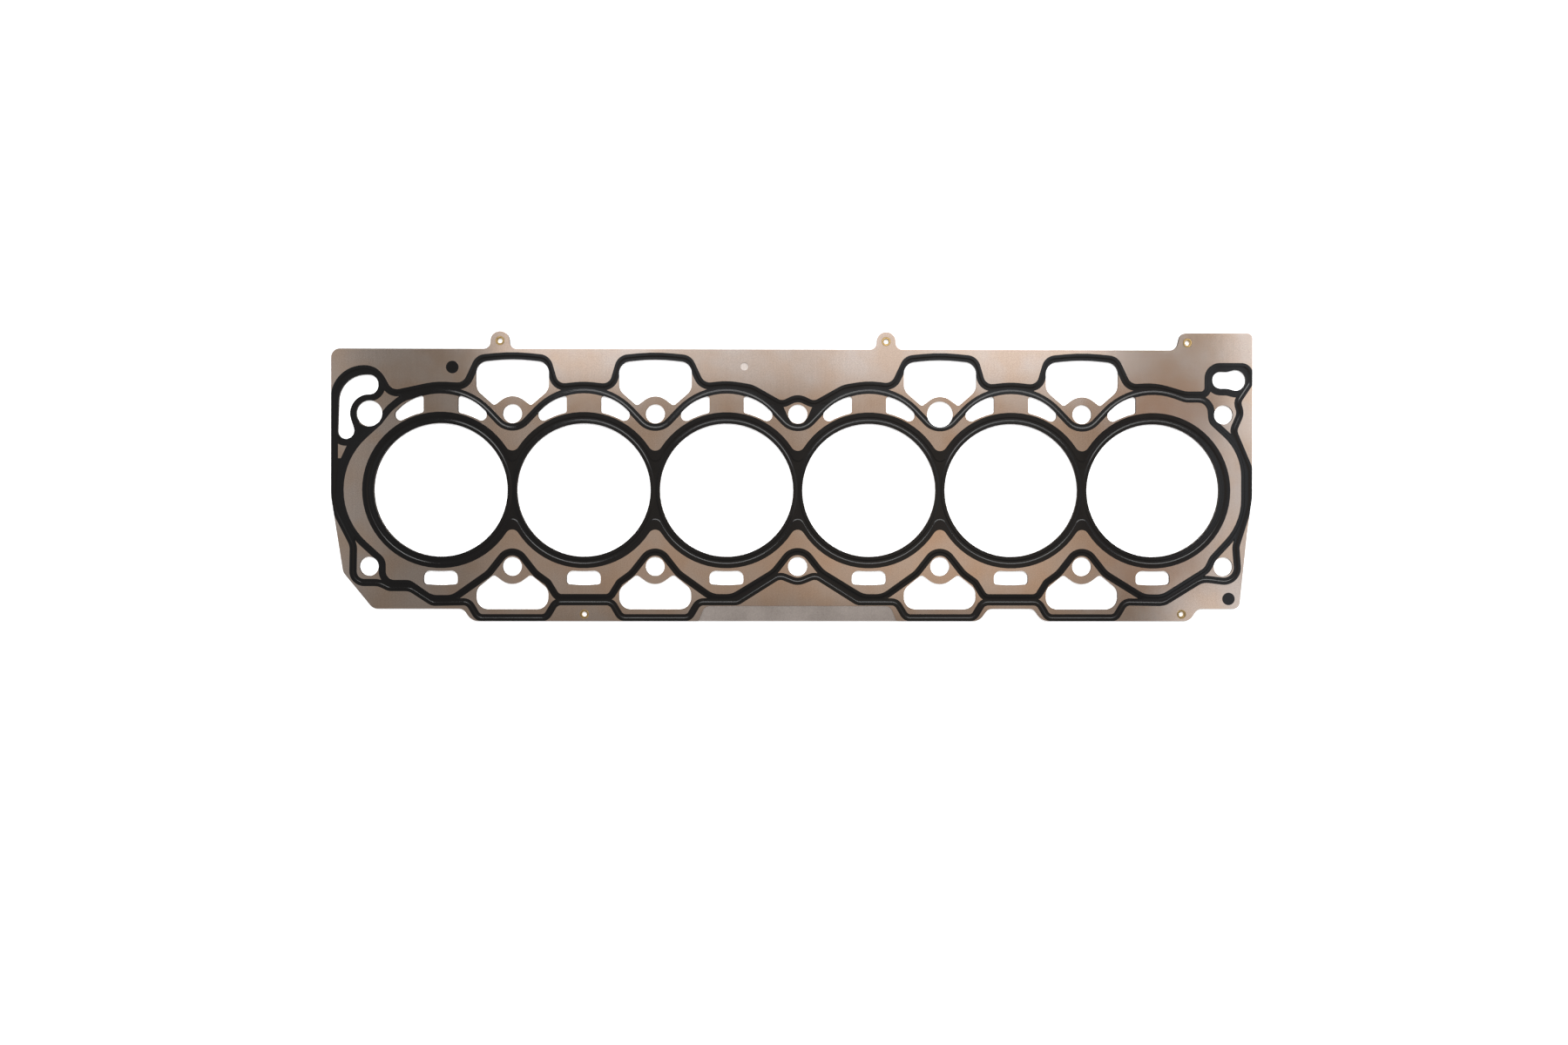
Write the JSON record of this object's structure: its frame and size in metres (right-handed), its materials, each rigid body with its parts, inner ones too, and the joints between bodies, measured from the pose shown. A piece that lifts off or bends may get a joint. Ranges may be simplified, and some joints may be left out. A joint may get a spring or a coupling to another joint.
{
  "type": "cylinder head gasket",
  "caption": "Multi-layer steel cylinder head gasket for an inline engine, with pressed sealing beads, printed rubber tracks and brass eyelets.",
  "frame": {"origin": "on the bore line, midway between cylinders 3 and 4, in the plane that meets the block", "axes": "+X along the row of bores towards the end with the small two-lobed oil slot, +Y towards the side with the tabs, +Z out of the face that meets the cylinder head"},
  "size_m": [0.5885, 0.1848, 0.0021],
  "materials": {
    "coated_spring_steel": "satin",
    "carrier_steel": "satin",
    "printed_rubber": "matte",
    "brass": "satin"
  },
  "bodies": {
    "root": {"head_side_sheet": "coated_spring_steel", "carrier_sheet": "carrier_steel", "deck_side_sheet": "coated_spring_steel", "head_bore_print": "printed_rubber", "head_jacket_print": "printed_rubber", "deck_bore_print": "printed_rubber", "deck_jacket_print": "printed_rubber", "head_dot_1": "printed_rubber", "head_dot_2": "printed_rubber", "eyelet_1": "brass", "eyelet_2": "brass", "eyelet_3": "brass", "eyelet_4": "brass", "eyelet_5": "brass"}
  },
  "joints": []
}
